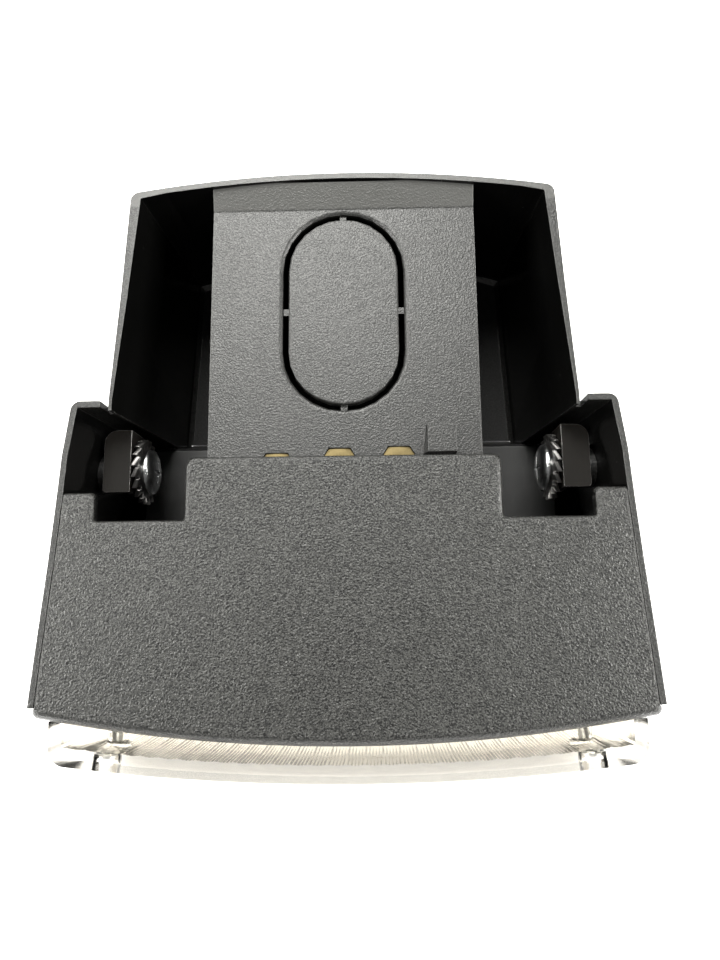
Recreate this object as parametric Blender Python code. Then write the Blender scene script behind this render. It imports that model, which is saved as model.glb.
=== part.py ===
"""Hooded lamp head with a clear fluted lens, a terminal column and two side brackets.

The part lies on the closed face of its hood, open side up.
X runs across the lamp, Y from the lens to the narrow rear end, Z up to the open rim.
"""
import math

import bmesh
import bpy
from mathutils import Matrix, Vector

MM = 0.001

# Clearance between pieces, and around a shank in its bore
GAP = 0.3 * MM
BORE_GAP = 0.1 * MM

# Hood: front housing, rear housing and their walls
RIM_HEIGHT = 42.0 * MM
FLOOR = 2.0 * MM
FRONT_WALL = 1.5 * MM
FRONT_RIM = 1.0 * MM
SHOULDER_WALL = 1.2 * MM
REAR_WALL = 1.1 * MM
REAR_SIDE_WALL = ((0.6 * MM, 11.2 * MM), (1.9 * MM, 53.2 * MM))
HOOD_EDGE_RADIUS = 3.0 * MM
END_DRAFT = 0.6 * MM
FRONT_LEAN = ((0.6 * MM, -44.4 * MM), (2.6 * MM, 0.6 * MM))
REAR_LEAN = ((4.7 * MM, 11.2 * MM), (2.8 * MM, 53.2 * MM))
FLOOR_FILLET = 0.9 * MM
HOOD_CORNER_R = 1.8 * MM
SILL_DEPTH = 1.6 * MM
SHOULDER_Y = 10.9 * MM
FRONT_SIDE = ((52.1 * MM, 0.6 * MM), (52.7 * MM, -9.0 * MM), (53.5 * MM, -20.0 * MM),
              (54.8 * MM, -35.5 * MM), (55.5 * MM, -44.4 * MM))
SHOULDER_X = 50.8 * MM
SHOULDER_RELIEF = (1.35 * MM, 5.0 * MM)
SIDE_END_Y = -44.6 * MM
LIP_CORNER_Y = -46.6 * MM
LIP_CENTRE_Y = -51.8 * MM
REAR_SIDE = ((43.9 * MM, 11.2 * MM), (42.5 * MM, 33.0 * MM), (41.5 * MM, 53.2 * MM))
REAR_TONGUE_Y = 9.0 * MM
REAR_APEX_Y = 56.65 * MM

# Terminal column with its break-out plate and key block, one cover thickness below the rim
COVER_THICKNESS = 2.0 * MM
COLUMN_HALF = 26.0 * MM
COLUMN_LEFT = 25.5 * MM
COLUMN_DROP = COVER_THICKNESS + GAP
COLUMN_WALL = 1.8 * MM
COLUMN_FRONT_Y = -6.4 * MM
COLUMN_CREASE_Y = 50.0 * MM
COLUMN_HOLLOW_Y = 52.5 * MM
COLUMN_END_Y = (54.6 * MM, 55.2 * MM)
COLUMN_END_Z = 1.0 * MM
RAMP_RISE = 1.6 * MM
KNOCKOUT_WIDTH = 21.3 * MM
KNOCKOUT_LENGTH = 37.9 * MM
KNOCKOUT_SLOT = 1.05 * MM
KNOCKOUT_WEB = 1.25 * MM
KNOCKOUT_WEB_DROP = 0.9 * MM
KNOCKOUT_X = 0.2 * MM
KNOCKOUT_Y = 29.1 * MM
SLOT_ROUND = 0.8 * MM
PLATE_EDGE = 0.3 * MM
KEY_BLOCK = ((15.8 * MM, 21.2 * MM), (0.6 * MM, 5.9 * MM), 1.3 * MM)
KEY_FLANK = 0.9 * MM

# Front cover
COVER_SIDE_GAP = 0.2 * MM
COVER_EDGE = 0.9 * MM
COVER_NOSE = 1.9 * MM
COVER_FLANGE = (2.0 * MM, 5.0 * MM)
COVER_CORNER_R = 1.1 * MM
SNAP_X = (-40.0 * MM, -20.0 * MM, 20.0 * MM, 40.0 * MM)
SNAP_HALF = 2.5 * MM
SNAP_SHEET = 1.2 * MM
SNAP_DROP = 3.0 * MM
COVER_TONGUE_HALF = 29.1 * MM
NOTCH_FLOOR_Y = -11.64 * MM
NOTCH_OUTER_X = 45.65 * MM
EAR_Y = -6.4 * MM

# Lamp chamber
CHAMBER_WALL = 1.5 * MM
CHAMBER_BACK_Y = -12.0 * MM
CHAMBER_FRONT_Y = -45.2 * MM
CHAMBER_HALF_REAR = 46.8 * MM
CHAMBER_HALF_FRONT = 49.4 * MM
LEDGE_HALF = 46.2 * MM
LEDGE_HEIGHT = 10.0 * MM
LEDGE_REAR_Y = 8.8 * MM
LEDGE_FILLET = 4.0 * MM

# Lens, gasket and lens screws
LENS_HALF = 54.0 * MM
LENS_FRONT_CENTRE_Y = -58.8 * MM
LENS_FRONT_CORNER_Y = -55.3 * MM
LENS_BACK_Y = -47.6 * MM
LENS_LOW_Z = 3.3 * MM
LENS_TOP_Z = RIM_HEIGHT - 5.5 * MM
LENS_WALL = 2.0 * MM
LENS_CORNER_R = 3.0 * MM
LENS_EDGE = (0.8 * MM, 0.25 * MM)
LENS_FRONT_WALL = 3.4 * MM
FLUTE_PITCH = 3.4 * MM
FLUTE_DEPTH = 0.6 * MM
WINDOW_HALF = 52.3 * MM
GASKET_THICKNESS = 1.2 * MM
GASKET_BORDER = 2.3 * MM
LENS_SCREW_X = 47.0 * MM
LENS_SCREW_SHANK_R = 1.45 * MM
LENS_SCREW_HEAD_R = 2.4 * MM
LENS_SCREW_HEAD = 1.4 * MM
LENS_SCREW_LENGTH = 26.0 * MM
LENS_SEAT_DEPTH = 1.7 * MM
SCREW_POST_R = 3.3 * MM

# Reflector and bulbs
OPTIC_Z = 20.5 * MM
REFLECTOR_HALF = 36.0 * MM
REFLECTOR_APEX_Y = -21.0 * MM
REFLECTOR_DEPTH = 23.5 * MM
REFLECTOR_HALF_HEIGHT = 14.5 * MM
REFLECTOR_SHEET = 1.0 * MM
BULB_X = 18.0 * MM
BULB_BASE_R = 5.6 * MM
BULB_GLASS_R = 6.2 * MM
HOLDER_R = 7.4 * MM
HOLDER_LENGTH = 6.5 * MM
HOLDER_FLOOR = 1.5 * MM
CAP_LENGTH = 12.5 * MM
CAP_WALL = 0.6 * MM
GLASS_WALL = 0.5 * MM
FILAMENT_R = 0.2 * MM

# Terminals
NUT_FLATS = 7.0 * MM
NUT_HEIGHT = 2.2 * MM
NUT_PLACES = ((-12.45 * MM, -2.7 * MM), (-0.7 * MM, -1.9 * MM), (10.45 * MM, -1.7 * MM))
STUD_R = 2.0 * MM
STRIP_THICKNESS = 0.6 * MM
STRIP_HALF = 3.0 * MM
STRIP_END = 3.2 * MM
STRIP_DROP = 7.0 * MM
BLOCK_X = (-19.0 * MM, 17.0 * MM)
BLOCK_Y = (-6.1 * MM, 5.5 * MM)
STUD_DEPTH = 7.7 * MM
STRIP_Z = RIM_HEIGHT - COLUMN_DROP - NUT_HEIGHT - STRIP_THICKNESS

# Side brackets, pivot screws and toothed washers
PIVOT_Y = 0.3 * MM
PIVOT_Z = RIM_HEIGHT - 17.0 * MM
BRACKET_SHEET = 1.2 * MM
BRACKET_INNER_X = 43.0 * MM
BRACKET_OUTER_X = 48.4 * MM
BRACKET_Y = (-4.7 * MM, 7.9 * MM)
BRACKET_TOP_Z = PIVOT_Z + 6.0 * MM
BRACKET_LOW_Z = PIVOT_Z - 6.5 * MM
BRACKET_CORNER_R = 5.0 * MM
FOOT_CORNER_R = (0.6 * MM, 2.6 * MM)
PIVOT_SHANK_R = 2.5 * MM
PIVOT_CLEARANCE = 0.08 * MM
PIVOT_HEAD_R = 4.75 * MM
PIVOT_HEAD_HEIGHT = 1.7 * MM
WASHER_R = 6.75 * MM
WASHER_ROOT_R = 5.3 * MM
WASHER_THICKNESS = 2.0 * MM
WASHER_TEETH = 18
BOSS_R = 4.3 * MM
BOSS_FACE_X = 44.5 * MM
INSERT_R = 3.25 * MM
INSERT_LENGTH = 4.0 * MM

# Housing screws, two on each tongue of the rear housing
TONGUE_X = (9.0 * MM, 19.0 * MM)
TONGUE_THICKNESS = 2.0 * MM
TONGUE_FRONT_Y = -4.6 * MM
HOUSING_SCREW_Y = (-1.8 * MM, 4.2 * MM)
HOUSING_SCREW_SHANK_R = 1.4 * MM
HOUSING_SCREW_HEAD_R = 2.7 * MM
HOUSING_SCREW_HEAD = 1.6 * MM

CUT_REACH = 60.0 * MM
CENTRE_SHIFT_Y = 1.075 * MM


def clear_scene():
    for thing in list(bpy.data.objects):
        bpy.data.objects.remove(thing, do_unlink=True)


def make_material(name, colour, roughness, metallic=0.0, alpha=1.0):
    material = bpy.data.materials.new(name)
    material.use_nodes = True
    shader = material.node_tree.nodes["Principled BSDF"]
    shader.inputs["Base Color"].default_value = (*colour, 1.0)
    shader.inputs["Roughness"].default_value = roughness
    shader.inputs["Metallic"].default_value = metallic
    shader.inputs["Alpha"].default_value = alpha
    material.diffuse_color = (*colour, alpha)
    return material


def make_object(name, bm):
    bmesh.ops.recalc_face_normals(bm, faces=bm.faces)
    mesh = bpy.data.meshes.new(name)
    bm.to_mesh(mesh)
    bm.free()
    thing = bpy.data.objects.new(name, mesh)
    bpy.context.scene.collection.objects.link(thing)
    return thing


def stack(name, levels):
    """Closed solid through equal-length point rings, one ring per level."""
    bm = bmesh.new()
    rings = [[bm.verts.new(point) for point in ring] for ring in levels]
    count = len(rings[0])
    for low, high in zip(rings, rings[1:]):
        for i in range(count):
            j = (i + 1) % count
            bm.faces.new((low[i], low[j], high[j], high[i]))
    bm.faces.new(list(reversed(rings[0])))
    bm.faces.new(rings[-1])
    return make_object(name, bm)


def flat_ring(points, z):
    return [(x, y, z) for x, y in points]


def prism(name, points, z_low, z_high):
    return stack(name, [flat_ring(points, z_low), flat_ring(points, z_high)])


def prism_along_x(name, points, x_low, x_high):
    """Closed solid from a (y, z) outline pulled along X."""
    return stack(name, [[(x, y, z) for y, z in points] for x in (x_low, x_high)])


def box(name, x, y, z):
    return prism(name, ((x[0], y[0]), (x[1], y[0]), (x[1], y[1]), (x[0], y[1])), z[0], z[1])


def turned(name, profile, axis, centre, segments=32):
    """Solid of revolution from (distance along the axis, radius) pairs; radius 0 closes an end."""
    turn = {"X": Vector((1, 0, 0)), "Y": Vector((0, 1, 0)), "Z": Vector((0, 0, 1))}[axis]
    side = {"X": Vector((0, 1, 0)), "Y": Vector((0, 0, 1)), "Z": Vector((1, 0, 0))}[axis]
    bm = bmesh.new()
    rings = []
    for along, radius in profile:
        base = Vector(centre) + turn * along
        if radius <= 0:
            rings.append([bm.verts.new(base)])
            continue
        ring = []
        for i in range(segments):
            spoke = Matrix.Rotation(2 * math.pi * i / segments, 3, turn) @ side
            ring.append(bm.verts.new(base + spoke * radius))
        rings.append(ring)
    closed = profile[0][1] > 0
    pairs = list(zip(rings, rings[1:]))
    if closed:
        pairs.append((rings[-1], rings[0]))
    for low, high in pairs:
        for i in range(segments):
            j = (i + 1) % segments
            if len(low) == 1:
                bm.faces.new((low[0], high[j], high[i]))
            elif len(high) == 1:
                bm.faces.new((low[i], low[j], high[0]))
            else:
                bm.faces.new((low[i], low[j], high[j], high[i]))
    return make_object(name, bm)


def rod(name, axis, centre, radius, start, end, segments=32):
    profile = ((start, 0.0), (start, radius), (end, radius), (end, 0.0))
    return turned(name, profile, axis, centre, segments)


def combine(target, tool, operation):
    """Apply one Boolean to the target and remove the tool."""
    modifier = target.modifiers.new("combine", "BOOLEAN")
    modifier.operation = operation
    modifier.solver = "EXACT"
    modifier.object = tool
    graph = bpy.context.evaluated_depsgraph_get()
    result = bpy.data.meshes.new_from_object(target.evaluated_get(graph))
    old = target.data
    target.modifiers.clear()
    target.data = result
    bpy.data.meshes.remove(old)
    bpy.data.objects.remove(tool, do_unlink=True)


def cut(target, tool):
    combine(target, tool, "DIFFERENCE")


def join(target, tool):
    combine(target, tool, "UNION")


def finish(thing, material, origin=(0.0, 0.0, 0.0), smooth=False):
    """Centre the part on its own box, set the origin, the shading and the material."""
    shift = Vector((0.0, CENTRE_SHIFT_Y, 0.0))
    place = Vector(origin) + shift
    thing.data.transform(Matrix.Translation(shift - place))
    thing.location = place
    thing.data.materials.clear()
    thing.data.materials.append(material)
    if smooth:
        thing.data.shade_smooth()
        thing.data.set_sharp_from_angle(angle=math.radians(40))
    thing.data.name = thing.name
    return thing


def round_corners(points, radii, steps=5):
    """Replace each corner of a closed outline by an arc; a radius of 0 keeps the corner."""
    result = []
    count = len(points)
    for i in range(count):
        corner = Vector(points[i])
        radius = radii[i]
        if radius <= 0:
            result.append(tuple(corner))
            continue
        back = (Vector(points[i - 1]) - corner).normalized()
        ahead = (Vector(points[(i + 1) % count]) - corner).normalized()
        half = back.angle(ahead) / 2
        reach = radius / math.tan(half)
        middle = corner + (back + ahead).normalized() * (radius / math.sin(half))
        first = corner + back * reach - middle
        last = corner + ahead * reach - middle
        sweep = first.angle_signed(last)
        for k in range(steps + 1):
            result.append(tuple(middle + Matrix.Rotation(-sweep * k / steps, 2) @ first))
    return result


def mirrored(half):
    """Full outline from its right half, which runs from the rear to the front centre line."""
    left = [(-x, y) for x, y in reversed(half) if x > 1e-9]
    return list(half) + left


def arc_y(x, centre_y, corner_x, corner_y):
    return centre_y + (corner_y - centre_y) * (x / corner_x) ** 2


def side_x(side, y):
    """Half width of a side line at y, straight between its stated points."""
    rows = sorted(side, key=lambda row: row[1])
    if y <= rows[0][1]:
        return rows[0][0]
    for (x0, y0), (x1, y1) in zip(rows, rows[1:]):
        if y <= y1:
            return x0 + (x1 - x0) * (y - y0) / (y1 - y0)
    return rows[-1][0]


def lean(rows, y, z):
    """How far a side wall stands in from its rim line at this height."""
    return side_x(rows, y) * (1 - z / RIM_HEIGHT)


def front_side(y, z, inset=0.0):
    return side_x(FRONT_SIDE, y) - lean(FRONT_LEAN, y, z) - inset


def rear_side(y, z, inset=0.0):
    return side_x(REAR_SIDE, y) - lean(REAR_LEAN, y, z) - inset


def end_draft(z):
    return END_DRAFT * (1 - z / RIM_HEIGHT)


def edge_levels():
    """Heights and insets of a shell whose lower edge is rounded."""
    levels = []
    for k in range(6):
        angle = math.radians(90 * k / 5)
        levels.append((HOOD_EDGE_RADIUS * (1 - math.cos(angle)),
                       HOOD_EDGE_RADIUS * (1 - math.sin(angle))))
    levels.append((RIM_HEIGHT, 0.0))
    return levels


def fillet_levels():
    """Heights and insets of a cavity whose floor meets its walls in a fillet."""
    return ((FLOOR, FLOOR_FILLET), (FLOOR + 0.4 * MM, 0.5 * FLOOR_FILLET),
            (FLOOR + FLOOR_FILLET, 0.0), (RIM_HEIGHT + 2 * MM, 0.0))


def both_sides(half, radii, steps=5):
    """Mirror a half outline with its corner radii and round the corners."""
    full_radii = radii + [r for (x, _), r in zip(reversed(half), reversed(radii)) if x > 1e-9]
    return round_corners(mirrored(half), full_radii, steps)


def front_outline(z, inset):
    """Front housing at one height: shoulder, flared side, rounded front corner and sill arc."""
    side_ys = [y for _, y in FRONT_SIDE]
    draft = end_draft(z) + inset
    corner_x = front_side(side_ys[-1], z, inset) + 0.1 * MM
    shoulder = SHOULDER_X - lean(FRONT_LEAN, SHOULDER_Y, z) - inset
    half = [(0.0, SHOULDER_Y), (REAR_SIDE[0][0] + 0.5 * MM, SHOULDER_Y),
            (shoulder, SHOULDER_Y - inset * 0.5)]
    radii = [0.0, 0.0, HOOD_CORNER_R]
    half += [(front_side(y, z, inset), y) for y in side_ys]
    half.append((corner_x, LIP_CORNER_Y + draft))
    radii += [0.0] * len(side_ys) + [HOOD_CORNER_R]
    for k in range(1, 11):
        x = corner_x * (1 - k / 10)
        half.append((x, arc_y(x, LIP_CENTRE_Y, corner_x, LIP_CORNER_Y) + draft))
        radii.append(0.0)
    return both_sides(half, radii)


def front_cavity_outline(z, extra):
    """Inside of the front housing, open to the rear between the shoulders."""
    inset = FRONT_WALL + (FRONT_RIM - FRONT_WALL) * min(1.0, z / RIM_HEIGHT) + extra
    side_ys = [y for _, y in FRONT_SIDE]
    opening = rear_side(SHOULDER_Y, z) + GAP - 0.1 * MM
    half = [(0.0, SHOULDER_Y + 2 * MM), (opening, SHOULDER_Y + 2 * MM),
            (opening, SHOULDER_Y - SHOULDER_WALL),
            (SHOULDER_X - lean(FRONT_LEAN, SHOULDER_Y, z) - inset, SHOULDER_Y - SHOULDER_WALL)]
    half += [(front_side(y, z, inset), y) for y in side_ys]
    corner_x = front_side(side_ys[-1], z, inset)
    for k in range(11):
        x = corner_x * (1 - k / 10)
        half.append((x, arc_y(x, LIP_CENTRE_Y, corner_x, LIP_CORNER_Y) + SILL_DEPTH))
    return mirrored(half)


def build_front_housing():
    shell = stack("front_housing", [flat_ring(front_outline(z, inset), z)
                                    for z, inset in edge_levels()])
    cut(shell, stack("cavity", [flat_ring(front_cavity_outline(z, extra), z)
                                for z, extra in fillet_levels()]))
    cut(shell, box("window", (-WINDOW_HALF, WINDOW_HALF), (-CUT_REACH, CHAMBER_FRONT_Y + 2.2 * MM),
                   (LENS_LOW_Z - GAP, RIM_HEIGHT + MM)))
    cut(shell, box("top_end", (-CUT_REACH, CUT_REACH), (-CUT_REACH, SIDE_END_Y),
                   (RIM_HEIGHT - COVER_FLANGE[1] - GAP, RIM_HEIGHT + MM)))
    relief_wide, relief_deep = SHOULDER_RELIEF
    for side in (-1, 1):
        x = sorted((side * REAR_SIDE[0][0], side * (REAR_SIDE[0][0] + 0.2 * MM + relief_wide)))
        cut(shell, box("relief", x, (SHOULDER_Y - 2 * MM, SHOULDER_Y + MM),
                       (RIM_HEIGHT - relief_deep, RIM_HEIGHT + MM)))
        for y in HOUSING_SCREW_Y:
            x = side * sum(TONGUE_X) / 2
            cut(shell, rod("pilot", "Z", (x, y, 0), HOUSING_SCREW_SHANK_R + BORE_GAP,
                           0.8 * MM, 4 * MM, 20))
    wall_x = front_side(PIVOT_Y, PIVOT_Z) - 0.7 * MM
    bore_end = wall_x - 1.3 * MM
    bore = INSERT_R + BORE_GAP
    cup = ((bore_end, 0.0), (bore_end, bore), (BOSS_FACE_X, bore), (BOSS_FACE_X, BOSS_R),
           (wall_x, BOSS_R), (wall_x, 0.0))
    for side in (-1, 1):
        profile = [(side * x, radius) for x, radius in cup]
        join(shell, turned("boss", profile, "X", (0.0, PIVOT_Y, PIVOT_Z)))
    return shell


def rear_outline(z, inset, front_y, wall=0.0):
    """Rear housing at one height: straight tapered sides and a bowed rear wall.

    With wall set, the outline is the cavity's: sides in by their own wall, rear by the rear wall.
    """
    def side_inset(y):
        return inset + (side_x(REAR_SIDE_WALL, y) if wall else 0.0)
    corner_y = REAR_SIDE[-1][1] - inset - wall - end_draft(z)
    corner = (rear_side(REAR_SIDE[-1][1], z, side_inset(REAR_SIDE[-1][1])), corner_y)
    half = []
    for k in range(8):
        x = corner[0] * k / 8
        y = arc_y(x, REAR_APEX_Y, REAR_SIDE[-1][0], REAR_SIDE[-1][1])
        half.append((x, y - inset - wall - end_draft(z)))
    half.append(corner)
    radii = [0.0] * 8 + [GAP if wall else HOOD_CORNER_R]
    for y in (REAR_SIDE[1][1], REAR_SIDE[0][1]):
        half.append((rear_side(y, z, side_inset(y)), y))
    half.append((rear_side(REAR_SIDE[0][1], z, side_inset(REAR_SIDE[0][1])), front_y))
    radii += [0.0] * 3
    return both_sides(half, radii)


def stadium(width, length, centre, steps=12):
    radius = width / 2
    reach = length / 2 - radius
    points = []
    for k in range(steps + 1):
        a = math.pi * k / steps
        points.append((centre[0] + radius * math.cos(a), centre[1] + reach + radius * math.sin(a)))
    for k in range(steps + 1):
        a = math.pi + math.pi * k / steps
        points.append((centre[0] + radius * math.cos(a), centre[1] - reach + radius * math.sin(a)))
    return points


def hexagon(flats, centre):
    radius = flats / math.sqrt(3)
    return [(centre[0] + radius * math.cos(math.radians(60 * k)),
             centre[1] + radius * math.sin(math.radians(60 * k))) for k in range(6)]


def build_rear_housing():
    panel_z = RIM_HEIGHT - COLUMN_DROP
    shell = stack("rear_housing", [flat_ring(rear_outline(z, inset, REAR_TONGUE_Y), z)
                                   for z, inset in edge_levels()])
    cut(shell, stack("cavity", [flat_ring(rear_outline(z, extra, 4 * MM, REAR_WALL), z)
                                for z, extra in fillet_levels()]))
    cut(shell, box("floor_cut", (-CUT_REACH, CUT_REACH), (0.0, SHOULDER_Y + GAP),
                   (-MM, FLOOR + GAP)))
    overhang = LEDGE_HEIGHT + LEDGE_FILLET + GAP
    outline = ((COLUMN_FRONT_Y, overhang), (LEDGE_REAR_Y + GAP, overhang),
               (LEDGE_REAR_Y + GAP, FLOOR + GAP), (SHOULDER_Y + GAP, FLOOR + GAP),
               (SHOULDER_Y + GAP, COLUMN_END_Z), (COLUMN_END_Y[0], COLUMN_END_Z),
               (COLUMN_END_Y[1], panel_z + RAMP_RISE), (COLUMN_CREASE_Y, panel_z),
               (COLUMN_FRONT_Y, panel_z))
    column = prism_along_x("column", outline, -COLUMN_LEFT, COLUMN_HALF)
    join(shell, column)
    cut(shell, box("hollow", (COLUMN_WALL - COLUMN_LEFT, COLUMN_HALF - COLUMN_WALL),
                   (COLUMN_FRONT_Y - 2 * MM, COLUMN_HOLLOW_Y), (FLOOR, panel_z - COLUMN_WALL)))
    centre = (KNOCKOUT_X, KNOCKOUT_Y)

    def oval(name, grow, edge, side, depth):
        """Upright oval whose top edge rolls outwards (side 1) or inwards (side -1)."""
        rings = [(panel_z - depth, 0.0)]
        for k in range(4):
            a = math.radians(30 * k)
            rings.append((panel_z - edge * (1 - math.sin(a)), edge * (1 - math.cos(a))))
        rings.append((panel_z + MM, edge))
        levels = []
        for z, roll in rings:
            step = 2 * (grow + side * roll)
            levels.append(flat_ring(stadium(KNOCKOUT_WIDTH + step, KNOCKOUT_LENGTH + step,
                                            centre), z))
        return stack(name, levels)
    slot = oval("slot", KNOCKOUT_SLOT, SLOT_ROUND, 1, 4 * MM)
    cut(slot, oval("plate", 0.0, PLATE_EDGE, -1, 5 * MM))
    web = KNOCKOUT_WEB / 2
    levels = (panel_z - 5 * MM, panel_z - KNOCKOUT_WEB_DROP)
    cut(slot, box("web_x", (-CUT_REACH, CUT_REACH), (KNOCKOUT_Y - web, KNOCKOUT_Y + web), levels))
    cut(slot, box("web_y", (centre[0] - web, centre[0] + web), (0.0, CUT_REACH), levels))
    cut(shell, slot)
    for x, y in NUT_PLACES:
        cut(shell, prism("pocket", hexagon(NUT_FLATS + GAP, (x, y)), panel_z - 3 * MM,
                         panel_z + MM))
    (x_low, x_high), (y_low, y_high), rise = KEY_BLOCK
    foot = [(x_low - KEY_FLANK, y_low - GAP), (x_high, y_low - GAP), (x_high, y_high),
            (x_low - 0.3 * KEY_FLANK, y_high)]
    head = [(x_low, y_low), (x_high, y_low), (x_high, y_high), (x_low, y_high)]
    join(shell, stack("key", [flat_ring(foot, panel_z - MM), flat_ring(foot, panel_z),
                              flat_ring(head, panel_z + rise)]))
    for side in (-1, 1):
        x_pair = sorted((side * TONGUE_X[0], side * TONGUE_X[1]))
        low = FLOOR + GAP
        points = ((TONGUE_FRONT_Y, low), (SHOULDER_Y + GAP, low), (SHOULDER_Y + GAP, MM),
                  (SHOULDER_Y + 4 * MM, MM), (SHOULDER_Y + 1.5 * MM, low + TONGUE_THICKNESS),
                  (TONGUE_FRONT_Y, low + TONGUE_THICKNESS))
        join(shell, prism_along_x("tongue", points, *x_pair))
        for y in HOUSING_SCREW_Y:
            cut(shell, rod("hole", "Z", (sum(x_pair) / 2, y, 0), HOUSING_SCREW_SHANK_R + BORE_GAP,
                           0.0, 8 * MM, 20))
    return shell


def cover_outline(edge, nose):
    """Cover in plan; edge draws in the tongue, notches and ears, nose draws in the front arc."""
    tongue = COVER_TONGUE_HALF - edge
    notch = NOTCH_FLOOR_Y - edge
    ear_x = NOTCH_OUTER_X + edge
    strip = FRONT_RIM + COVER_SIDE_GAP
    step_y = SIDE_END_Y - GAP
    half = [(0.0, -edge), (tongue, -edge), (tongue, notch), (ear_x, notch), (ear_x, EAR_Y - edge)]
    radii = [0.0, 1.5 * MM, 0.5 * MM + edge, 0.5 * MM + edge, 1.0 * MM]
    for y in (EAR_Y - edge, *[y for _, y in FRONT_SIDE[1:-1]], step_y):
        half.append((front_side(y, RIM_HEIGHT, strip), y))
        radii.append(0.0)
    corner_x = FRONT_SIDE[-1][0] + 0.1 * MM
    half.append((corner_x - nose, step_y))
    half.append((corner_x - nose, LIP_CORNER_Y + nose * 0.8))
    radii += [0.0, COVER_CORNER_R]
    for k in range(1, 13):
        x = (corner_x - nose) * (1 - k / 12)
        half.append((x, arc_y(x, LIP_CENTRE_Y, corner_x, LIP_CORNER_Y) + nose))
        radii.append(0.0)
    return both_sides(half, radii, 4)


def flange_outline(nose):
    """Front flange in plan: the same front arc, backed by a parallel arc inside."""
    deep = COVER_FLANGE[0]
    step_y = SIDE_END_Y - GAP
    corner_x = FRONT_SIDE[-1][0] + 0.1 * MM
    half = []
    for k in range(13):
        x = corner_x * k / 12
        half.append((x - (nose if k == 12 else 0.0),
                     min(step_y, arc_y(x, LIP_CENTRE_Y, corner_x, LIP_CORNER_Y) + deep)))
    half.append((corner_x - nose, LIP_CORNER_Y + nose * 0.8))
    radii = [0.0] * 13 + [COVER_CORNER_R]
    for k in range(1, 13):
        x = (corner_x - nose) * (1 - k / 12)
        half.append((x, arc_y(x, LIP_CENTRE_Y, corner_x, LIP_CORNER_Y) + nose))
        radii.append(0.0)
    return both_sides(half, radii, 4)


def build_front_cover():
    """Plate with rolled edges, a bull-nosed front flange and four snap tabs underneath."""
    low = RIM_HEIGHT - COVER_THICKNESS
    levels = []
    for share, edge, nose in ((1.0, 0.0, 0.13), (0.5, 0.0, 0.37), (0.25, 0.17, 0.58),
                              (0.09, 0.45, 0.77), (0.0, 1.0, 1.0)):
        ring = cover_outline(edge * COVER_EDGE, nose * COVER_NOSE)
        levels.append(flat_ring(ring, RIM_HEIGHT - share * COVER_THICKNESS))
    plate = stack("front_cover", levels)
    foot = RIM_HEIGHT - COVER_FLANGE[1]
    join(plate, stack("flange", [flat_ring(flange_outline(nose * COVER_NOSE), z) for z, nose in (
        (foot, 0.15), (foot + 0.5 * MM, 0.0), (foot + 1.6 * MM, 0.0), (low + 0.02 * MM, 0.13),
        (low + 0.5 * MM, 0.3))]))
    tab_y = CHAMBER_BACK_Y - CHAMBER_WALL - GAP
    for x in SNAP_X:
        join(plate, box("snap", (x - SNAP_HALF, x + SNAP_HALF), (tab_y - SNAP_SHEET, tab_y),
                        (low - SNAP_DROP, low + 0.5 * MM)))
    return plate


def build_lamp_chamber():
    top = RIM_HEIGHT - COVER_THICKNESS - GAP
    base = FLOOR + GAP
    back = CHAMBER_BACK_Y
    wall = CHAMBER_WALL
    outer = ((CHAMBER_HALF_REAR, back), (CHAMBER_HALF_FRONT, CHAMBER_FRONT_Y),
             (-CHAMBER_HALF_FRONT, CHAMBER_FRONT_Y), (-CHAMBER_HALF_REAR, back))
    body = prism("lamp_chamber", outer, base, top)
    ledge = [(back - MM, base), (LEDGE_REAR_Y, base), (LEDGE_REAR_Y, LEDGE_HEIGHT - 0.8 * MM),
             (LEDGE_REAR_Y - 0.8 * MM, LEDGE_HEIGHT)]
    for k in range(7):
        a = math.radians(90 * k / 6)
        ledge.append((back + LEDGE_FILLET * (1 - math.sin(a)),
                      LEDGE_HEIGHT + LEDGE_FILLET * (1 - math.cos(a))))
    ledge.append((back - MM, LEDGE_HEIGHT + LEDGE_FILLET))
    join(body, prism_along_x("ledge", ledge, -LEDGE_HALF, LEDGE_HALF))
    mouth = CHAMBER_FRONT_Y - MM
    inner = ((CHAMBER_HALF_REAR - wall, back - wall), (CHAMBER_HALF_FRONT - wall, mouth),
             (-CHAMBER_HALF_FRONT + wall, mouth), (-CHAMBER_HALF_REAR + wall, back - wall))
    cut(body, prism("hollow", inner, base + wall, top + 2 * MM))
    cut(body, box("under", (-LEDGE_HALF + wall, LEDGE_HALF - wall),
                  (back + wall, LEDGE_REAR_Y - wall), (0.0, LEDGE_HEIGHT - wall)))
    for side in (-1, 1):
        x_pair = sorted((side * (TONGUE_X[0] - 0.5 * MM), side * (TONGUE_X[1] + 0.5 * MM)))
        cut(body, box("tongue_slot", x_pair, (0.0, LEDGE_REAR_Y + 2 * MM),
                      (0.0, base + TONGUE_THICKNESS + 0.5 * MM)))
        post = rod("post", "Y", (side * LENS_SCREW_X, 0, OPTIC_Z), SCREW_POST_R,
                   CHAMBER_FRONT_Y, back - wall / 2)
        join(body, post)
        cut(body, rod("bore", "Y", (side * LENS_SCREW_X, 0, OPTIC_Z),
                      LENS_SCREW_SHANK_R + BORE_GAP, CHAMBER_FRONT_Y - MM, -26 * MM, 20))
    for x, _ in NUT_PLACES:
        cut(body, box("strip_window", (x - STRIP_HALF - 0.5 * MM, x + STRIP_HALF + 0.5 * MM),
                      (back - wall - MM, back + MM), (STRIP_Z - 0.6 * MM, STRIP_Z + 1.4 * MM)))
    return body


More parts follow.
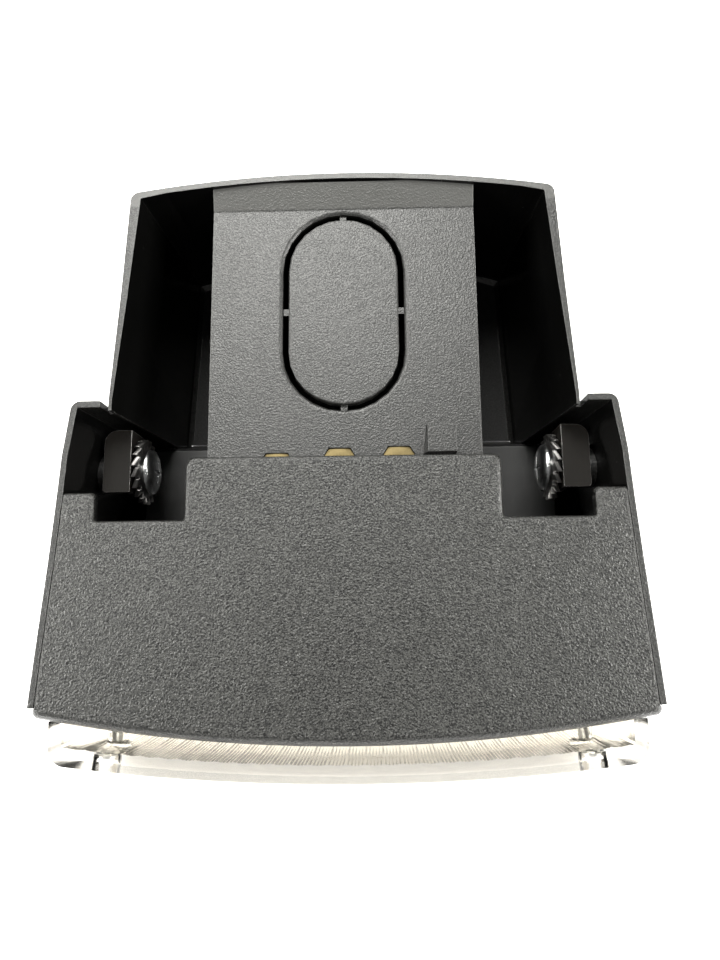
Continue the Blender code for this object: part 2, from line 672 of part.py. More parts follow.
def build_reflector():
    def bowl(grow, mouth):
        points = []
        for k in range(21):
            v = -1 + 2 * k / 20
            height = REFLECTOR_HALF_HEIGHT + grow
            points.append((REFLECTOR_APEX_Y + grow - (REFLECTOR_DEPTH + grow) * v * v,
                           OPTIC_Z + height * v))
        points[0] = (mouth, points[0][1])
        points[-1] = (mouth, points[-1][1])
        return points
    mouth = REFLECTOR_APEX_Y - REFLECTOR_DEPTH
    shell = prism_along_x("reflector", bowl(0.0, mouth), -REFLECTOR_HALF, REFLECTOR_HALF)
    inner = REFLECTOR_HALF - REFLECTOR_SHEET
    cut(shell, prism_along_x("bowl", bowl(-REFLECTOR_SHEET, mouth - 3 * MM), -inner, inner))
    for side in (-1, 1):
        cut(shell, rod("hole", "Y", (side * BULB_X, 0, OPTIC_Z), BULB_BASE_R + GAP,
                       REFLECTOR_APEX_Y - 6 * MM, REFLECTOR_APEX_Y + 4 * MM))
    return shell


def build_bulb(side, names):
    """Holder cup, metal cap, open-necked glass and bent filament wire on one Y axis."""
    holder, cap, glass, filament = names
    centre = (side * BULB_X, 0.0, OPTIC_Z)
    seat = CHAMBER_BACK_Y - CHAMBER_WALL - GAP
    holder_inner = BULB_BASE_R + GAP
    turned(holder, ((seat, 0.0), (seat, HOLDER_R), (seat - HOLDER_LENGTH, HOLDER_R),
                    (seat - HOLDER_LENGTH, holder_inner), (seat - HOLDER_FLOOR, holder_inner),
                    (seat - HOLDER_FLOOR, 0.0)), "Y", centre)
    low = seat - HOLDER_FLOOR - GAP
    mouth = seat - CAP_LENGTH
    step = seat - 4.5 * MM
    root = seat - 6.0 * MM
    turned(cap, ((low, 0.0), (low, 2.0 * MM), (low - MM, BULB_BASE_R), (mouth, BULB_BASE_R),
                 (mouth, BULB_BASE_R - CAP_WALL), (step, BULB_BASE_R - CAP_WALL),
                 (step, 0.0)), "Y", centre)
    neck = BULB_BASE_R - CAP_WALL - GAP
    thick = GLASS_WALL
    outer = [(root, neck), (mouth - 0.4 * MM, neck)]
    ball = mouth - 7.3 * MM
    start = math.asin(neck / BULB_GLASS_R)
    for k in range(1, 10):
        a = start + (math.pi - start) * k / 9
        outer.append((ball + BULB_GLASS_R * math.cos(a), BULB_GLASS_R * math.sin(a)))
    outer[-1] = (ball - BULB_GLASS_R, 0.0)
    inner = [(ball - BULB_GLASS_R + thick, 0.0)]
    for k in range(8, 0, -1):
        a = start + (math.pi - start) * k / 9
        inner.append((ball + (BULB_GLASS_R - thick) * math.cos(a),
                      (BULB_GLASS_R - thick) * math.sin(a)))
    inner += [(mouth - 0.4 * MM, neck - thick), (root, neck - thick)]
    shell_profile = outer + inner
    revolve_open(glass, shell_profile, centre)
    wire = [(-1.6, 17.0), (-1.6, 4.2), (-0.9, 2.0), (-0.4, 1.0), (0.0, 2.0),
            (0.4, 1.0), (0.9, 2.0), (1.6, 4.2), (1.6, 17.0)]
    path = [Vector((side * BULB_X + x * MM, ball + min(y * MM, step - ball - GAP), OPTIC_Z))
            for x, y in wire]
    bent_wire(filament, path, FILAMENT_R)


def revolve_open(name, profile, centre, segments=32):
    """Thin-walled glass: the profile runs out along the skin, over the tip and back inside."""
    bm = bmesh.new()
    rings = []
    for along, radius in profile:
        if radius <= 0:
            rings.append([bm.verts.new((centre[0], along, centre[2]))])
            continue
        rings.append([bm.verts.new((centre[0] + radius * math.cos(2 * math.pi * i / segments), along,
                                    centre[2] + radius * math.sin(2 * math.pi * i / segments)))
                      for i in range(segments)])
    pairs = [(a, b) for a, b in zip(rings, rings[1:]) if len(a) > 1 or len(b) > 1]
    pairs.append((rings[-1], rings[0]))
    for low, high in pairs:
        for i in range(segments):
            j = (i + 1) % segments
            if len(low) == 1:
                bm.faces.new((low[0], high[j], high[i]))
            elif len(high) == 1:
                bm.faces.new((low[i], low[j], high[0]))
            else:
                bm.faces.new((low[i], low[j], high[j], high[i]))
    return make_object(name, bm)


def bent_wire(name, path, radius, segments=8):
    """Round wire with mitred bends, in a plane of constant Z."""
    bm = bmesh.new()
    rings = []
    for i, point in enumerate(path):
        before = (point - path[i - 1]).normalized() if i else None
        after = (path[i + 1] - point).normalized() if i + 1 < len(path) else None
        along = ((before or after) + (after or before)).normalized()
        side = Vector((0, 0, 1))
        cross = along.cross(side)
        stretch = 1 / max(0.5, along.dot(after or before))
        rings.append([bm.verts.new(point + radius * (
            side * math.sin(2 * math.pi * k / segments)
            + cross * stretch * math.cos(2 * math.pi * k / segments))) for k in range(segments)])
    for low, high in zip(rings, rings[1:]):
        for i in range(segments):
            j = (i + 1) % segments
            bm.faces.new((low[i], low[j], high[j], high[i]))
    bm.faces.new(rings[0])
    bm.faces.new(rings[-1])
    return make_object(name, bm)


def lens_outline(inset):
    """Lens in plan: bowed front and rounded front corners."""
    corner_x = LENS_HALF - inset
    half = [(0.0, LENS_BACK_Y), (corner_x, LENS_BACK_Y), (corner_x, LENS_FRONT_CORNER_Y + inset)]
    radii = [0.0, 0.0, LENS_CORNER_R - inset * 0.8]
    for k in range(1, 13):
        x = (corner_x - 4 * MM) * (1 - k / 12)
        half.append((x, arc_y(x, LENS_FRONT_CENTRE_Y, LENS_HALF, LENS_FRONT_CORNER_Y) + inset))
        radii.append(0.0)
    return both_sides(half, radii)


def lens_hollow_outline():
    """Inside of the lens: a front face of shallow scallops between plain ends."""
    corner_x = LENS_HALF - LENS_WALL
    half = [(0.0, LENS_BACK_Y + 5 * MM), (corner_x, LENS_BACK_Y + 5 * MM),
            (corner_x, LENS_FRONT_CORNER_Y + LENS_FRONT_WALL)]
    count = int((corner_x - 2 * MM) / FLUTE_PITCH)
    for k in range(4 * count, -1, -1):
        x = k * FLUTE_PITCH / 4
        y = arc_y(x, LENS_FRONT_CENTRE_Y, LENS_HALF, LENS_FRONT_CORNER_Y) + LENS_FRONT_WALL
        half.append((x, y - FLUTE_DEPTH * abs(math.sin(math.pi * k / 4))))
    return mirrored(half)


def lens_seat_y():
    """Where the screw recess ends, below the bowed face at the screw."""
    face = arc_y(LENS_SCREW_X, LENS_FRONT_CENTRE_Y, LENS_HALF, LENS_FRONT_CORNER_Y)
    return face + LENS_SEAT_DEPTH


def build_lens():
    levels = []
    wide, narrow = LENS_EDGE
    for z, inset in ((LENS_LOW_Z, wide), (LENS_LOW_Z + narrow, narrow), (LENS_LOW_Z + wide, 0.0),
                     (LENS_TOP_Z - wide, 0.0), (LENS_TOP_Z - narrow, narrow), (LENS_TOP_Z, wide)):
        levels.append(flat_ring(lens_outline(inset), z))
    lens = stack("lens", levels)
    cut(lens, prism("tray", lens_hollow_outline(), LENS_LOW_Z + LENS_WALL,
                    LENS_TOP_Z - LENS_WALL))
    for side in (-1, 1):
        centre = (side * LENS_SCREW_X, 0, OPTIC_Z)
        cut(lens, rod("recess", "Y", centre, LENS_SCREW_HEAD_R + GAP, -CUT_REACH, lens_seat_y(), 24))
        cut(lens, rod("hole", "Y", centre, LENS_SCREW_SHANK_R + GAP, -CUT_REACH, -50 * MM, 20))
    return lens


def build_gasket():
    seat = LENS_BACK_Y + GAP
    y = (seat, seat + GASKET_THICKNESS)
    half = WINDOW_HALF - GAP
    frame = box("lens_gasket", (-half, half), y, (LENS_LOW_Z, LENS_TOP_Z))
    inner = half - GASKET_BORDER
    cut(frame, box("opening", (-inner, inner), (y[0] - MM, y[1] + MM),
                   (LENS_LOW_Z + GASKET_BORDER, LENS_TOP_Z - GASKET_BORDER)))
    return frame


def build_lens_screw(name, side):
    centre = (side * LENS_SCREW_X, 0.0, OPTIC_Z)
    under = lens_seat_y() - GAP
    top = under - LENS_SCREW_HEAD
    tip = under + LENS_SCREW_LENGTH
    head = ((top, 0.0), (top, 0.5 * LENS_SCREW_HEAD_R), (top + 0.4 * MM, 0.8 * LENS_SCREW_HEAD_R),
            (under - 0.4 * MM, LENS_SCREW_HEAD_R), (under, LENS_SCREW_HEAD_R),
            (under, LENS_SCREW_SHANK_R), (tip - 1.5 * MM, LENS_SCREW_SHANK_R),
            (tip, 0.5 * MM), (tip, 0.0))
    screw = turned(name, head, "Y", centre, 24)
    cross_recess(screw, "Y", (centre[0], top, centre[2]), 0.9 * MM, 1.2 * MM)
    return screw


def cross_recess(screw, axis, tip, depth, reach):
    """Cross-shaped driver recess sunk into a screw head."""
    wide = 0.35 * MM
    x, y, z = tip
    for first, second in ((reach, wide), (wide, reach)):
        if axis == "Y":
            tool = box("drive", (x - first, x + first), (y - MM, y + depth), (z - second, z + second))
        elif axis == "Z":
            tool = box("drive", (x - first, x + first), (y - second, y + second), (z - depth, z + MM))
        else:
            x_pair = sorted((x - math.copysign(depth, -x), x + math.copysign(MM, -x)))
            tool = box("drive", x_pair, (y - first, y + first), (z - second, z + second))
        cut(screw, tool)


def build_terminals():
    top = RIM_HEIGHT - COLUMN_DROP
    nut_low = top + 0.1 * MM - NUT_HEIGHT
    block_top = nut_low - STRIP_THICKNESS - 2 * BORE_GAP
    block = box("terminal_block", BLOCK_X, BLOCK_Y,
                (LEDGE_HEIGHT + GAP, block_top))
    cut(block, box("fillet_room", (-CUT_REACH, CUT_REACH), (BLOCK_Y[0] - MM, -2.2 * MM),
                   (0.0, LEDGE_HEIGHT + LEDGE_FILLET + MM)))
    parts = []
    for i, (x, y) in enumerate(NUT_PLACES):
        cut(block, rod("bore", "Z", (x, y, 0), STUD_R + BORE_GAP, block_top - STUD_DEPTH - GAP,
                       block_top + MM, 24))
        nut = prism("terminal_nut_%d" % (i + 1), hexagon(NUT_FLATS, (x, y)), nut_low,
                    nut_low + NUT_HEIGHT)
        cut(nut, rod("bore", "Z", (x, y, 0), STUD_R + BORE_GAP, nut_low - MM,
                     nut_low + NUT_HEIGHT + MM, 24))
        stud = turned("terminal_stud_%d" % (i + 1), (
            (block_top - STUD_DEPTH, 0.0), (block_top - STUD_DEPTH, STUD_R),
            (nut_low + NUT_HEIGHT - 0.4 * MM, STUD_R), (nut_low + NUT_HEIGHT, STUD_R - 0.4 * MM),
            (nut_low + NUT_HEIGHT, 0.0)), "Z", (x, y, 0.0), 24)
        low = block_top + BORE_GAP
        bend_y = CHAMBER_BACK_Y - CHAMBER_WALL - MM
        profile = ((y + STRIP_END, low), (y + STRIP_END, low + STRIP_THICKNESS),
                   (bend_y - STRIP_THICKNESS, low + STRIP_THICKNESS),
                   (bend_y - STRIP_THICKNESS, low - STRIP_DROP), (bend_y, low - STRIP_DROP),
                   (bend_y, low))
        strip = prism_along_x("contact_strip_%d" % (i + 1), profile, x - STRIP_HALF, x + STRIP_HALF)
        cut(strip, rod("bore", "Z", (x, y, 0), STUD_R + BORE_GAP, low - MM, low + 2 * MM, 24))
        parts.append((nut, stud, strip))
    return block, parts


def build_bracket(name, side):
    """Folded steel angle: the leg turns on the pivot screw, the foot lies parallel to the rim."""
    y_low, y_high = BRACKET_Y
    inner = side * BRACKET_INNER_X
    leg_outline = round_corners(((y_low, BRACKET_LOW_Z), (y_high, BRACKET_LOW_Z),
                                 (y_high, BRACKET_TOP_Z), (y_low, BRACKET_TOP_Z)),
                                (BRACKET_CORNER_R, BRACKET_CORNER_R, 0.0, 0.0), 6)
    leg_x = sorted((inner, inner + side * BRACKET_SHEET))
    bracket = prism_along_x(name, leg_outline, *leg_x)
    outer = side * BRACKET_OUTER_X
    foot_points = [(inner, y_low), (outer, y_low), (outer, y_high), (inner, y_high)]
    foot_outline = round_corners(foot_points, (0.0, *FOOT_CORNER_R, 0.0), 6)
    foot = prism("foot", foot_outline, BRACKET_TOP_Z - BRACKET_SHEET, BRACKET_TOP_Z)
    join(bracket, foot)
    cut(bracket, rod("bore", "X", (0, PIVOT_Y, PIVOT_Z), PIVOT_SHANK_R + PIVOT_CLEARANCE,
                     side * (BRACKET_INNER_X - MM), side * (BRACKET_INNER_X + 3 * MM), 40))
    return bracket


def build_tooth_washer(name, side):
    """Flat ring whose outer teeth are cut at a slant through the sheet."""
    near = BRACKET_INNER_X - BORE_GAP
    far = near - WASHER_THICKNESS
    per_tooth = 4
    count = WASHER_TEETH * per_tooth
    rings = []
    for x, twist in ((far, 0.0), (near, 0.5)):
        ring = []
        for i in range(count):
            radius = WASHER_R if i % per_tooth in (0, 1) else WASHER_ROOT_R
            a = 2 * math.pi * (i + twist * per_tooth * side) / count
            ring.append((side * x, PIVOT_Y + radius * math.cos(a), PIVOT_Z + radius * math.sin(a)))
        rings.append(ring)
    washer = stack(name, rings)
    cut(washer, rod("bore", "X", (0, PIVOT_Y, PIVOT_Z), PIVOT_SHANK_R + BORE_GAP,
                    side * (far - MM), side * (near + MM), 32))
    return washer


def build_pivot_screw(name, side):
    seat = BRACKET_INNER_X - BORE_GAP - WASHER_THICKNESS - BORE_GAP
    top = seat - PIVOT_HEAD_HEIGHT
    tip = BOSS_FACE_X + INSERT_LENGTH + 0.2 * MM
    dome = PIVOT_HEAD_HEIGHT - 0.3 * MM
    profile = [(side * top, 0.0)]
    for k in range(1, 7):
        a = math.radians(90 * k / 6)
        profile.append((side * (top + dome * (1 - math.cos(a))), PIVOT_HEAD_R * math.sin(a)))
    profile += [(side * seat, PIVOT_HEAD_R), (side * seat, PIVOT_SHANK_R),
                (side * (tip - 0.5 * MM), PIVOT_SHANK_R),
                (side * tip, PIVOT_SHANK_R - 0.5 * MM), (side * tip, 0.0)]
    screw = turned(name, profile, "X", (0, PIVOT_Y, PIVOT_Z), 40)
    cross_recess(screw, "X", (side * top, PIVOT_Y, PIVOT_Z), 1.5 * MM, 2.3 * MM)
    return screw


def build_insert(name, side):
    start = BOSS_FACE_X + 0.2 * MM
    end = BOSS_FACE_X + INSERT_LENGTH
    bore = PIVOT_SHANK_R + BORE_GAP
    return turned(name, ((side * start, bore), (side * start, INSERT_R - 0.3 * MM),
                         (side * (start + 0.3 * MM), INSERT_R), (side * end, INSERT_R),
                         (side * end, bore)), "X", (0, PIVOT_Y, PIVOT_Z), 32)


def build_housing_screw(name, x, y):
    seat = FLOOR + GAP + TONGUE_THICKNESS + 0.1 * MM
    shank = HOUSING_SCREW_SHANK_R
    profile = ((1.0 * MM, 0.0), (1.0 * MM, shank), (seat, shank), (seat, HOUSING_SCREW_HEAD_R),
               (seat + 0.9 * MM, HOUSING_SCREW_HEAD_R), (seat + HOUSING_SCREW_HEAD, 1.8 * MM),
               (seat + HOUSING_SCREW_HEAD, 0.0))
    screw = turned(name, profile, "Z", (x, y, 0.0), 24)
    cross_recess(screw, "Z", (x, y, seat + HOUSING_SCREW_HEAD), 0.9 * MM, 1.4 * MM)
    return screw


def named_material(key):
    settings = {
        "hood_plastic": ((0.032, 0.033, 0.035), 0.5, 0.0, 1.0),
        "cover_plastic": ((0.036, 0.037, 0.039), 0.48, 0.0, 1.0),
        "chamber_plastic": ((0.028, 0.029, 0.030), 0.42, 0.0, 1.0),
        "reflector_coating": ((0.85, 0.86, 0.88), 0.12, 1.0, 1.0),
        "clear_lens": ((0.93, 0.95, 0.96), 0.06, 0.0, 0.35),
        "gasket_rubber": ((0.02, 0.02, 0.02), 0.85, 0.0, 1.0),
        "bulb_glass": ((0.95, 0.95, 0.95), 0.03, 0.0, 0.3),
        "bulb_cap": ((0.62, 0.58, 0.48), 0.3, 1.0, 1.0),
        "filament_wire": ((0.35, 0.35, 0.36), 0.4, 1.0, 1.0),
        "holder_plastic": ((0.10, 0.08, 0.06), 0.6, 0.0, 1.0),
        "terminal_resin": ((0.05, 0.035, 0.025), 0.55, 0.0, 1.0),
        "brass": ((0.80, 0.60, 0.28), 0.28, 1.0, 1.0),
        "bracket_steel": ((0.10, 0.085, 0.075), 0.42, 0.8, 1.0),
        "zinc_steel": ((0.62, 0.63, 0.65), 0.22, 1.0, 1.0),
        "black_steel": ((0.06, 0.06, 0.065), 0.35, 0.9, 1.0),
    }
    found = bpy.data.materials.get(key)
    if found:
        return found
    colour, roughness, metallic, alpha = settings[key]
    return make_material(key, colour, roughness, metallic, alpha)


def build_all():
    clear_scene()
    finish(build_front_housing(), named_material("hood_plastic"), smooth=True)
    finish(build_rear_housing(), named_material("hood_plastic"), smooth=True)
    finish(build_front_cover(), named_material("cover_plastic"))
    finish(build_lamp_chamber(), named_material("chamber_plastic"), smooth=True)
    finish(build_reflector(), named_material("reflector_coating"), smooth=True)
    finish(build_lens(), named_material("clear_lens"), smooth=True)
    finish(build_gasket(), named_material("gasket_rubber"))
    for side, word in ((-1, "left"), (1, "right")):
        names = ["bulb_%s_%s" % (piece, word) for piece in ("holder", "cap", "glass", "filament")]
        build_bulb(side, names)
        for name, key in zip(names, ("holder_plastic", "bulb_cap", "bulb_glass", "filament_wire")):
            finish(bpy.data.objects[name], named_material(key), smooth=True)
        pivot = (side * BRACKET_INNER_X, PIVOT_Y, PIVOT_Z)
        finish(build_bracket("bracket_%s" % word, side), named_material("bracket_steel"), pivot)
        finish(build_tooth_washer("tooth_washer_%s" % word, side), named_material("black_steel"))
        finish(build_pivot_screw("pivot_screw_%s" % word, side), named_material("zinc_steel"),
               smooth=True)
        finish(build_insert("pivot_insert_%s" % word, side), named_material("brass"), smooth=True)
        finish(build_lens_screw("lens_screw_%s" % word, side), named_material("zinc_steel"),
               smooth=True)
        for k, y in enumerate(HOUSING_SCREW_Y):
            x = side * sum(TONGUE_X) / 2
            finish(build_housing_screw("housing_screw_%s_%d" % (word, k + 1), x, y),
                   named_material("zinc_steel"), smooth=True)
    block, terminals = build_terminals()
    finish(block, named_material("terminal_resin"))
    for nut, stud, strip in terminals:
        finish(nut, named_material("brass"))
        finish(stud, named_material("brass"), smooth=True)
        finish(strip, named_material("brass"))


build_all()
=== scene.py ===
"""Looks of a hooded lamp head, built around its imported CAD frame."""

import bpy
import bmesh
import numpy as np
from mathutils import Matrix, Vector


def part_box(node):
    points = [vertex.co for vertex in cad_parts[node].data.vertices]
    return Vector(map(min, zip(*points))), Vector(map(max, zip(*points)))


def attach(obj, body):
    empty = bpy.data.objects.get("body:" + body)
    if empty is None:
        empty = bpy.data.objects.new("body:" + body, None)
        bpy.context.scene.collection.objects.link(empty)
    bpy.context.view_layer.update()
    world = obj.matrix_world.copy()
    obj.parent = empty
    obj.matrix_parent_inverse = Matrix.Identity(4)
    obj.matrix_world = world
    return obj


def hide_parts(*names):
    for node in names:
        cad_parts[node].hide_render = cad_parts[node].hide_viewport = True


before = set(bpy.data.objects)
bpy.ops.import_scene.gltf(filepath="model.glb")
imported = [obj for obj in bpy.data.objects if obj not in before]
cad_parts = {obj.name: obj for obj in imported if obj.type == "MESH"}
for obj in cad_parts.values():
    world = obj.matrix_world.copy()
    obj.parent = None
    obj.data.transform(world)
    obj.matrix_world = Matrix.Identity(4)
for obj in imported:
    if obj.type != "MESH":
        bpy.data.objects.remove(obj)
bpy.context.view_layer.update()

MM = 0.001


# Viewpoint. The head lies on its closed hood face and is seen almost straight down on its open
# side. The sensor is 36 mm along the long side of a 720 by 960 frame.
rim_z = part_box("front_housing")[1].z
eye = Vector((5.95 * MM, -25.99 * MM, rim_z + 129.44 * MM))
ahead = Vector((-0.0213, 0.1695, -0.9853)).normalized()
right = ahead.cross(Vector((0.0131, 0.9855, 0.1693))).normalized()
viewpoint = bpy.data.objects.new("viewpoint", bpy.data.cameras.new("viewpoint"))
viewpoint.data.lens = 27.0
viewpoint.data.sensor_width = 36.0
viewpoint.data.clip_start = 5 * MM
turn = Matrix((right, right.cross(ahead), -ahead)).transposed()
viewpoint.matrix_world = Matrix.Translation(eye) @ turn.to_4x4()
bpy.context.scene.collection.objects.link(viewpoint)
bpy.context.scene.camera = viewpoint
bpy.context.scene.view_settings.view_transform = "Standard"


# Studio. A plain white sheet lies under the head and soft panels hang above it. The one behind
# the narrow end gives the column its sheen, and low ones at the sides rake the cover's grain.
FLOOR_Z = -0.3 * MM
SHEET_HALF = 2.5
PANELS = (("rear_panel", (-0.14, 0.62, 0.85), 0.62, 15.5),
          ("left_panel", (-0.98, -0.05, 0.66), 0.60, 21.0),
          ("right_panel", (1.02, -0.05, 0.66), 0.60, 28.0),
          ("front_panel", (0.10, -0.95, 0.60), 0.50, 1.5))
LAMP_WHITE = (1.0, 0.995, 0.955)
sheet = bpy.data.meshes.new("sheet")
corners = [(-SHEET_HALF, -SHEET_HALF, FLOOR_Z), (SHEET_HALF, -SHEET_HALF, FLOOR_Z),
           (SHEET_HALF, SHEET_HALF, FLOOR_Z), (-SHEET_HALF, SHEET_HALF, FLOOR_Z)]
sheet.from_pydata(corners, [], [(0, 1, 2, 3)])
floor = bpy.data.objects.new("floor", sheet)
bpy.context.scene.collection.objects.link(floor)
paper = bpy.data.materials.new("white_paper")
paper.use_nodes = True
paper_shader = paper.node_tree.nodes["Principled BSDF"]
paper_shader.inputs["Base Color"].default_value = (0.92, 0.92, 0.92, 1)
paper_shader.inputs["Roughness"].default_value = 0.9
paper_shader.inputs["Emission Color"].default_value = (1, 1, 1, 1)
paper_shader.inputs["Emission Strength"].default_value = 0.55
sheet.materials.append(paper)
for name, place, size, radiance in PANELS:
    lamp = bpy.data.lights.new(name, "AREA")
    lamp.shape = "SQUARE"
    lamp.size = size
    lamp.color = LAMP_WHITE
    lamp.energy = radiance * size * size * np.pi
    panel = bpy.data.objects.new(name, lamp)
    panel.location = place
    panel.rotation_euler = (-Vector(place)).to_track_quat("-Z", "Y").to_euler()
    bpy.context.scene.collection.objects.link(panel)
world = bpy.data.worlds.new("studio")
world.use_nodes = True
world.node_tree.nodes["Background"].inputs["Color"].default_value = (1, 1, 1, 1)
world.node_tree.nodes["Background"].inputs["Strength"].default_value = 0.15
bpy.context.scene.world = world


# Hood. Two black ABS mouldings, the wide front shell around the lamp and the narrow rear shell
# with the terminal column. Their tools are spark-eroded, which leaves a fine leather grain.
class Wire:
    """A socket in a material's tree. Arithmetic on it adds Math nodes."""

    def __init__(self, tree, socket=None):
        self.tree, self.socket = tree, socket

    def make(self, kind, settings, inputs, out=0):
        """Add a node, set it up first, then fill or link its sockets; gives one output."""
        node = self.tree.nodes.new(kind)
        for key, value in settings.items():
            if key == "stops":
                while len(node.color_ramp.elements) < len(value):
                    node.color_ramp.elements.new(0.5)
                for element, (position, level) in zip(node.color_ramp.elements, value):
                    element.position = position
                    element.color = (level, level, level, 1)
            else:
                setattr(node, key, value)
        for key, value in inputs.items():
            if isinstance(value, Wire):
                self.tree.links.new(value.socket, node.inputs[key])
            else:
                node.inputs[key].default_value = value
        return Wire(self.tree, node.outputs[out])

    def math(self, operation, first, second):
        return self.make("ShaderNodeMath", {"operation": operation}, {0: first, 1: second})

    def __add__(self, other):
        return self.math("ADD", self, other)

    def __sub__(self, other):
        return self.math("SUBTRACT", self, other)

    def __mul__(self, other):
        return self.math("MULTIPLY", self, other)

    def __rsub__(self, other):
        return self.math("SUBTRACT", other, self)

    __radd__, __rmul__ = __add__, __mul__

    def noise(self, pitch, detail=3.0, coarse=0.5):
        """Cloudy value from 0 to 1 whose lumps are about one pitch across."""
        return self.make("ShaderNodeTexNoise", {}, {
            "Vector": self, "Scale": 1 / pitch, "Detail": detail, "Roughness": coarse})

    def cells(self, pitch, feature="SMOOTH_F1"):
        """Distance to the nearest of scattered points one pitch apart."""
        return self.make("ShaderNodeTexVoronoi", {"feature": feature}, {
            "Vector": self, "Scale": 1 / pitch})

    def stretch(self, scale):
        """The same place with each axis multiplied, so that a pattern runs into streaks."""
        return self.make("ShaderNodeMapping", {}, {"Vector": self, "Scale": scale})

    def ramp(self, *stops):
        return self.make("ShaderNodeValToRGB", {"stops": stops}, {"Fac": self})

    def blend(self, low, high):
        """Colour low where the value is 0, high where it is 1."""
        return self.make("ShaderNodeMix", {"data_type": "RGBA"}, {0: self, 6: low, 7: high}, 2)


def open_material(name, metallic=0.0, **fixed):
    """A new Principled material with its fixed sockets set; gives it, its shader and its place."""
    material = bpy.data.materials.new(name)
    material.use_nodes = True
    tree = material.node_tree
    shader = tree.nodes["Principled BSDF"]
    shader.inputs["Metallic"].default_value = metallic
    for key, value in fixed.items():
        shader.inputs[key.replace("_", " ")].default_value = value
    place = Wire(tree).make("ShaderNodeTexCoord", {}, {}, "Object")
    return material, shader, place


def close_material(shader, **varying):
    """Link what changes over the surface to the shader's sockets."""
    for key, wire in varying.items():
        wire.tree.links.new(wire.socket, shader.inputs[key.replace("_", " ")])


def rolled_edges(place, radius):
    """Normal that rolls over every edge with this radius, and a mask of those edges."""
    rolled = place.make("ShaderNodeBevel", {"samples": 4}, {"Radius": radius})
    flat = place.make("ShaderNodeNewGeometry", {}, {}, "Normal")
    match = place.make("ShaderNodeVectorMath", {"operation": "DOT_PRODUCT"},
                       {0: rolled, 1: flat}, 1)
    return rolled, (1 - match).ramp((0.01, 0.0), (0.25, 1.0))


def relief(place, height, depth, normal):
    """Normal of a height from 0 to 1 that stands this deep."""
    return place.make("ShaderNodeBump", {}, {
        "Strength": 1.0, "Distance": depth, "Height": height, "Normal": normal})


WALL_REACH = 10 * MM
# Where the painted sheen on the ramp behind the column's crease begins, and the width over which it fades
# in.
RAMP_Y = 51.2 * MM
RAMP_BLEND = 0.4 * MM


def polished_inside(place, middle):
    """Masks of the steep walls that face the middle of the moulding, where its core is polished,
    and of the level surfaces that face straight up."""
    flat = place.make("ShaderNodeNewGeometry", {}, {}, "Normal")
    outwards = place.make("ShaderNodeVectorMath", {"operation": "SUBTRACT"}, {0: place, 1: middle})
    level = outwards.make("ShaderNodeVectorMath", {"operation": "MULTIPLY"},
                          {0: outwards, 1: (1, 1, 0)})
    facing = level.make("ShaderNodeVectorMath", {"operation": "DOT_PRODUCT"}, {0: level, 1: flat}, 1)
    upward = flat.make("ShaderNodeVectorMath", {"operation": "DOT_PRODUCT"}, {0: flat, 1: (0, 0, 1)}, 1)
    steep = (upward * upward).ramp((0.05, 1.0), (0.15, 0.0))
    inner = (facing * (-1 / WALL_REACH)).ramp((0.2, 0.0), (0.6, 1.0)) * steep
    return inner, upward.ramp((0.90, 0.0), (0.99, 1.0))


def grained_plastic(name, tone, gloss, pitch, depth, edge, middle, glint_level, index):
    """Black moulded plastic: leather grain outside, polished walls inside, cloudy tone, edges
    painted paler (partly rubbed wear, partly a painted edge highlight) and a few dust specks.
    Pale flecks painted into the colour stand for glints of light on the grain. Deep floors are
    matt and get no glints, a painted shade. The ramp behind the column's crease gets a painted sheen."""
    material, shader, place = open_material(name, IOR=index, Coat_Roughness=0.22)
    rolled, edges = rolled_edges(place, edge)
    inner, level = polished_inside(place, middle)
    along, up = (place.make("ShaderNodeSeparateXYZ", {}, {0: place}, axis) for axis in (1, 2))
    # Deep floors are rougher and lose the painted glints, which paints shade into the deep bays.
    deep = (up * (1 / rim_z)).ramp((0.55, 1.0), (0.75, 0.0)) * level
    # Painted sheen: past RAMP_Y the colour is painted paler, in place of light that the ramp would catch.
    painted_ramp_sheen = ((along - RAMP_Y) * (1 / MM)).ramp((0.0, 0.0), (RAMP_BLEND / MM, 1.0)) * (1 - deep) * (1 - inner)
    grain = place.cells(pitch) * 0.8 + place.noise(pitch * 0.8, 2.0, 0.6) * 0.9
    # Painted glints: random pale flecks in the colour that stand for light sparkling off the grain.
    painted_glints = place.noise(pitch * 0.75, 1.0).ramp((0.42, 0.0), (0.58, 1.0)) * (1 - inner)
    cloud = place.noise(18 * MM, 4.0)
    rub = place.noise(3 * MM, 4.0, 0.7).ramp((0.45, 0.0), (0.75, 1.0))
    speck = place.cells(2.6 * MM, "F1").ramp((0.018, 1.0), (0.034, 0.0))
    light = cloud * 0.05 + painted_glints * glint_level * (1 - deep) + painted_ramp_sheen * 0.85
    # The edges are painted paler: partly rubbed wear, partly a painted edge highlight.
    light = light + edges * (rub * 0.6 + 0.3) + speck * 2.0
    shine = (gloss + cloud * 0.10 - painted_glints * 0.12) * (1 - inner * 0.6)
    dark, pale = (tone * 0.1, tone * 0.1, tone * 0.1, 1), (tone * 7.5, tone * 7.5, tone * 7.1, 1)
    close_material(shader, Base_Color=light.blend(dark, pale),
                   Roughness=shine + speck * 0.2 + deep * 0.4,
                   Coat_Weight=edges * (1 - inner) * 0.9,
                   Normal=relief(place, grain * (1 - inner * 0.9), depth, rolled))
    return material


def coat(material, *nodes):
    """Give CAD nodes this material in every slot."""
    for node in nodes:
        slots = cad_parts[node].data.materials
        for index in range(len(slots)):
            slots[index] = material
        if not slots:
            slots.append(material)


